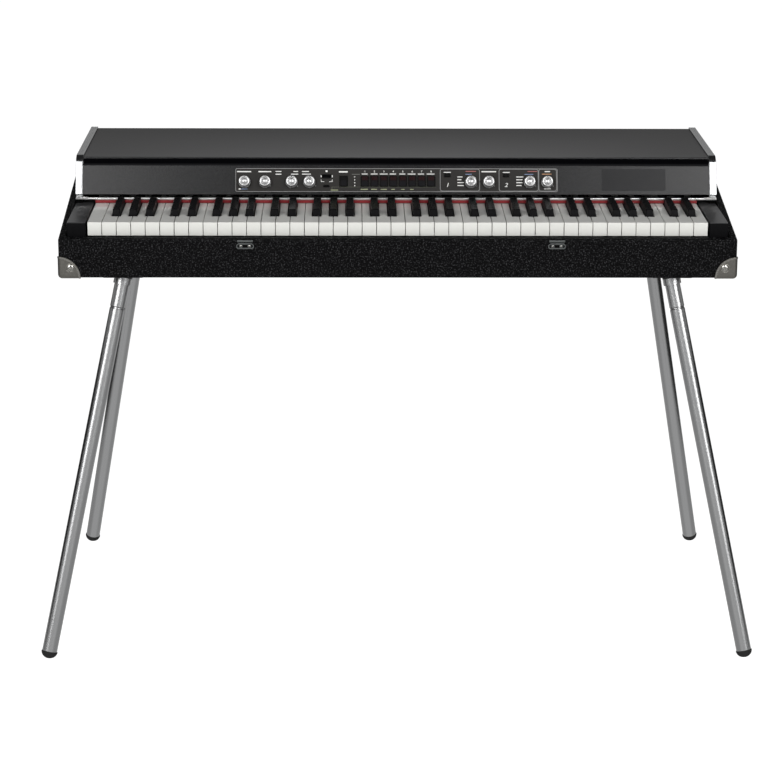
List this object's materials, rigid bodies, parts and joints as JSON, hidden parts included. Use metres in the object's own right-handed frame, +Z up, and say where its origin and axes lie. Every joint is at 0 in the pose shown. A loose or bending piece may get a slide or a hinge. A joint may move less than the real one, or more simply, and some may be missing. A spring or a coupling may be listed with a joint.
{
  "type": "electric piano",
  "caption": "Stage electric piano: vinyl-covered tray with weighted keys, a raised metal cover with a knob and button panel, and splayed chromed tube legs.",
  "frame": {"origin": "middle of the footprint, on the floor", "axes": "+X along the keyboard from low keys to high keys, +Y from the player to the rear, +Z up"},
  "size_m": [1.177, 0.626, 0.7875],
  "materials": {
    "covered_board": "black pebbled vinyl over glued board",
    "corner_nickel": "satin nickel plate",
    "cheek_paint": "black satin paint",
    "zinc_steel": "zinc plate",
    "red_felt": "woven felt strip",
    "cap_aluminium": "brushed along its length",
    "cover_paint": "satin charcoal paint",
    "panel_paint": "fine textured dark paint",
    "knob_silver": "polished",
    "button_plastic": "smooth",
    "white_key": "smooth",
    "black_key": "polished",
    "leg_chrome": "satin chrome",
    "socket_black": "black enamel",
    "foot_rubber": "moulded rubber",
    "circuit_board": "green solder mask",
    "jack_black": "moulded"
  },
  "bodies": {
    "case": {"case_tray": "covered_board", "left_corner_protector": "corner_nickel", "right_corner_protector": "corner_nickel", "left_cheek_block": "cheek_paint", "right_cheek_block": "cheek_paint", "key_chassis": "zinc_steel", "key_felt": "red_felt", "cover_rail": "cap_aluminium", "top_cover": "cover_paint", "left_end_cap": "cap_aluminium", "right_end_cap": "cap_aluminium", "control_panel": "panel_paint", "main_board": "circuit_board", "jack_panel": "jack_black", "front_left_leg_socket": "socket_black", "front_left_leg": "leg_chrome", "front_left_rubber_foot": "foot_rubber", "front_right_leg_socket": "socket_black", "front_right_leg": "leg_chrome", "front_right_rubber_foot": "foot_rubber", "rear_left_leg_socket": "socket_black", "rear_left_leg": "leg_chrome", "rear_left_rubber_foot": "foot_rubber", "rear_right_leg_socket": "socket_black", "rear_right_leg": "leg_chrome", "rear_right_rubber_foot": "foot_rubber"},
    "volume_knob": {"volume_knob": "knob_silver"},
    "reverb_knob": {"reverb_knob": "knob_silver"},
    "bass_knob": {"bass_knob": "knob_silver"},
    "treble_knob": {"treble_knob": "knob_silver"},
    "effect_1_rate_knob": {"effect_1_rate_knob": "knob_silver"},
    "effect_1_depth_knob": {"effect_1_depth_knob": "knob_silver"},
    "effect_2_depth_knob": {"effect_2_depth_knob": "knob_silver"},
    "drive_knob": {"drive_knob": "knob_silver"},
    "bank_button": {"bank_button": "button_plastic"},
    "preset_button_1": {"preset_button_1": "button_plastic"},
    "preset_button_2": {"preset_button_2": "button_plastic"},
    "preset_button_3": {"preset_button_3": "button_plastic"},
    "preset_button_4": {"preset_button_4": "button_plastic"},
    "preset_button_5": {"preset_button_5": "button_plastic"},
    "preset_button_6": {"preset_button_6": "button_plastic"},
    "preset_button_7": {"preset_button_7": "button_plastic"},
    "preset_button_8": {"preset_button_8": "button_plastic"},
    "effect_button_1": {"effect_button_1": "button_plastic"},
    "effect_button_2": {"effect_button_2": "button_plastic"},
    "low_white_keys": {"low_white_keys": "white_key"},
    "low_black_keys": {"low_black_keys": "black_key"},
    "white_key_e": {"white_key_e": "white_key"},
    "white_key_f": {"white_key_f": "white_key"},
    "white_key_g": {"white_key_g": "white_key"},
    "white_key_a": {"white_key_a": "white_key"},
    "white_key_b": {"white_key_b": "white_key"},
    "white_key_c": {"white_key_c": "white_key"},
    "white_key_d": {"white_key_d": "white_key"},
    "white_key_e_top": {"white_key_e_top": "white_key"},
    "black_key_f_sharp": {"black_key_f_sharp": "black_key"},
    "black_key_g_sharp": {"black_key_g_sharp": "black_key"},
    "black_key_a_sharp": {"black_key_a_sharp": "black_key"},
    "black_key_c_sharp": {"black_key_c_sharp": "black_key"},
    "black_key_d_sharp": {"black_key_d_sharp": "black_key"}
  },
  "joints": [
    {"name": "volume_knob_turn", "type": "hinge", "parent": "case", "child": "volume_knob", "pos_m": [-0.25539, -0.03144, 0.74559], "axis": [0, -0.9178, 0.3971], "range_deg": [-150, 150]},
    {"name": "reverb_knob_turn", "type": "hinge", "parent": "case", "child": "reverb_knob", "pos_m": [-0.22081, -0.03144, 0.74559], "axis": [0, -0.9178, 0.3971], "range_deg": [-150, 150]},
    {"name": "bass_knob_turn", "type": "hinge", "parent": "case", "child": "bass_knob", "pos_m": [-0.17642, -0.03144, 0.74559], "axis": [0, -0.9178, 0.3971], "range_deg": [-150, 150]},
    {"name": "treble_knob_turn", "type": "hinge", "parent": "case", "child": "treble_knob", "pos_m": [-0.14656, -0.03144, 0.74559], "axis": [0, -0.9178, 0.3971], "range_deg": [-150, 150]},
    {"name": "effect_1_rate_knob_turn", "type": "hinge", "parent": "case", "child": "effect_1_rate_knob", "pos_m": [0.12455, -0.03144, 0.74559], "axis": [0, -0.9178, 0.3971], "range_deg": [-150, 150]},
    {"name": "effect_1_depth_knob_turn", "type": "hinge", "parent": "case", "child": "effect_1_depth_knob", "pos_m": [0.15469, -0.03144, 0.74559], "axis": [0, -0.9178, 0.3971], "range_deg": [-150, 150]},
    {"name": "effect_2_depth_knob_turn", "type": "hinge", "parent": "case", "child": "effect_2_depth_knob", "pos_m": [0.22347, -0.03144, 0.74559], "axis": [0, -0.9178, 0.3971], "range_deg": [-150, 150]},
    {"name": "drive_knob_turn", "type": "hinge", "parent": "case", "child": "drive_knob", "pos_m": [0.25306, -0.03144, 0.74559], "axis": [0, -0.9178, 0.3971], "range_deg": [-150, 150]},
    {"name": "bank_button_press", "type": "slide", "parent": "case", "child": "bank_button", "axis": [0, 0.9178, -0.3971], "range_m": [0, 0.0015], "stiffness_N_per_m": 500, "springref_m": -0.0015},
    {"name": "preset_button_1_press", "type": "slide", "parent": "case", "child": "preset_button_1", "axis": [0, 0.9178, -0.3971], "range_m": [0, 0.0015], "stiffness_N_per_m": 500, "springref_m": -0.0015},
    {"name": "preset_button_2_press", "type": "slide", "parent": "case", "child": "preset_button_2", "axis": [0, 0.9178, -0.3971], "range_m": [0, 0.0015], "stiffness_N_per_m": 500, "springref_m": -0.0015},
    {"name": "preset_button_3_press", "type": "slide", "parent": "case", "child": "preset_button_3", "axis": [0, 0.9178, -0.3971], "range_m": [0, 0.0015], "stiffness_N_per_m": 500, "springref_m": -0.0015},
    {"name": "preset_button_4_press", "type": "slide", "parent": "case", "child": "preset_button_4", "axis": [0, 0.9178, -0.3971], "range_m": [0, 0.0015], "stiffness_N_per_m": 500, "springref_m": -0.0015},
    {"name": "preset_button_5_press", "type": "slide", "parent": "case", "child": "preset_button_5", "axis": [0, 0.9178, -0.3971], "range_m": [0, 0.0015], "stiffness_N_per_m": 500, "springref_m": -0.0015},
    {"name": "preset_button_6_press", "type": "slide", "parent": "case", "child": "preset_button_6", "axis": [0, 0.9178, -0.3971], "range_m": [0, 0.0015], "stiffness_N_per_m": 500, "springref_m": -0.0015},
    {"name": "preset_button_7_press", "type": "slide", "parent": "case", "child": "preset_button_7", "axis": [0, 0.9178, -0.3971], "range_m": [0, 0.0015], "stiffness_N_per_m": 500, "springref_m": -0.0015},
    {"name": "preset_button_8_press", "type": "slide", "parent": "case", "child": "preset_button_8", "axis": [0, 0.9178, -0.3971], "range_m": [0, 0.0015], "stiffness_N_per_m": 500, "springref_m": -0.0015},
    {"name": "effect_button_1_press", "type": "slide", "parent": "case", "child": "effect_button_1", "axis": [0, 0.9178, -0.3971], "range_m": [0, 0.0015], "stiffness_N_per_m": 500, "springref_m": -0.0015},
    {"name": "effect_button_2_press", "type": "slide", "parent": "case", "child": "effect_button_2", "axis": [0, 0.9178, -0.3971], "range_m": [0, 0.0015], "stiffness_N_per_m": 500, "springref_m": -0.0015},
    {"name": "low_white_keys_tip", "type": "hinge", "parent": "case", "child": "low_white_keys", "pos_m": [0, 0.0353, 0.6966], "axis": [1, 0, 0], "range_deg": [0, 2.55], "stiffness_Nm_per_rad": 42, "springref_deg": -10},
    {"name": "low_black_keys_tip", "type": "hinge", "parent": "case", "child": "low_black_keys", "pos_m": [0, 0.0353, 0.6966], "axis": [1, 0, 0], "range_deg": [0, 2.9], "stiffness_Nm_per_rad": 18.8, "springref_deg": -10},
    {"name": "white_key_e_tip", "type": "hinge", "parent": "case", "child": "white_key_e", "pos_m": [0, 0.0353, 0.6966], "axis": [1, 0, 0], "range_deg": [0, 2.55], "stiffness_Nm_per_rad": 1.2, "springref_deg": -10},
    {"name": "white_key_f_tip", "type": "hinge", "parent": "case", "child": "white_key_f", "pos_m": [0, 0.0353, 0.6966], "axis": [1, 0, 0], "range_deg": [0, 2.55], "stiffness_Nm_per_rad": 1.2, "springref_deg": -10},
    {"name": "white_key_g_tip", "type": "hinge", "parent": "case", "child": "white_key_g", "pos_m": [0, 0.0353, 0.6966], "axis": [1, 0, 0], "range_deg": [0, 2.55], "stiffness_Nm_per_rad": 1.2, "springref_deg": -10},
    {"name": "white_key_a_tip", "type": "hinge", "parent": "case", "child": "white_key_a", "pos_m": [0, 0.0353, 0.6966], "axis": [1, 0, 0], "range_deg": [0, 2.55], "stiffness_Nm_per_rad": 1.2, "springref_deg": -10},
    {"name": "white_key_b_tip", "type": "hinge", "parent": "case", "child": "white_key_b", "pos_m": [0, 0.0353, 0.6966], "axis": [1, 0, 0], "range_deg": [0, 2.55], "stiffness_Nm_per_rad": 1.2, "springref_deg": -10},
    {"name": "white_key_c_tip", "type": "hinge", "parent": "case", "child": "white_key_c", "pos_m": [0, 0.0353, 0.6966], "axis": [1, 0, 0], "range_deg": [0, 2.55], "stiffness_Nm_per_rad": 1.2, "springref_deg": -10},
    {"name": "white_key_d_tip", "type": "hinge", "parent": "case", "child": "white_key_d", "pos_m": [0, 0.0353, 0.6966], "axis": [1, 0, 0], "range_deg": [0, 2.55], "stiffness_Nm_per_rad": 1.2, "springref_deg": -10},
    {"name": "white_key_e_top_tip", "type": "hinge", "parent": "case", "child": "white_key_e_top", "pos_m": [0, 0.0353, 0.6966], "axis": [1, 0, 0], "range_deg": [0, 2.55], "stiffness_Nm_per_rad": 1.2, "springref_deg": -10},
    {"name": "black_key_f_sharp_tip", "type": "hinge", "parent": "case", "child": "black_key_f_sharp", "pos_m": [0, 0.0353, 0.6966], "axis": [1, 0, 0], "range_deg": [0, 2.9], "stiffness_Nm_per_rad": 0.75, "springref_deg": -10},
    {"name": "black_key_g_sharp_tip", "type": "hinge", "parent": "case", "child": "black_key_g_sharp", "pos_m": [0, 0.0353, 0.6966], "axis": [1, 0, 0], "range_deg": [0, 2.9], "stiffness_Nm_per_rad": 0.75, "springref_deg": -10},
    {"name": "black_key_a_sharp_tip", "type": "hinge", "parent": "case", "child": "black_key_a_sharp", "pos_m": [0, 0.0353, 0.6966], "axis": [1, 0, 0], "range_deg": [0, 2.9], "stiffness_Nm_per_rad": 0.75, "springref_deg": -10},
    {"name": "black_key_c_sharp_tip", "type": "hinge", "parent": "case", "child": "black_key_c_sharp", "pos_m": [0, 0.0353, 0.6966], "axis": [1, 0, 0], "range_deg": [0, 2.9], "stiffness_Nm_per_rad": 0.75, "springref_deg": -10},
    {"name": "black_key_d_sharp_tip", "type": "hinge", "parent": "case", "child": "black_key_d_sharp", "pos_m": [0, 0.0353, 0.6966], "axis": [1, 0, 0], "range_deg": [0, 2.9], "stiffness_Nm_per_rad": 0.75, "springref_deg": -10}
  ]
}
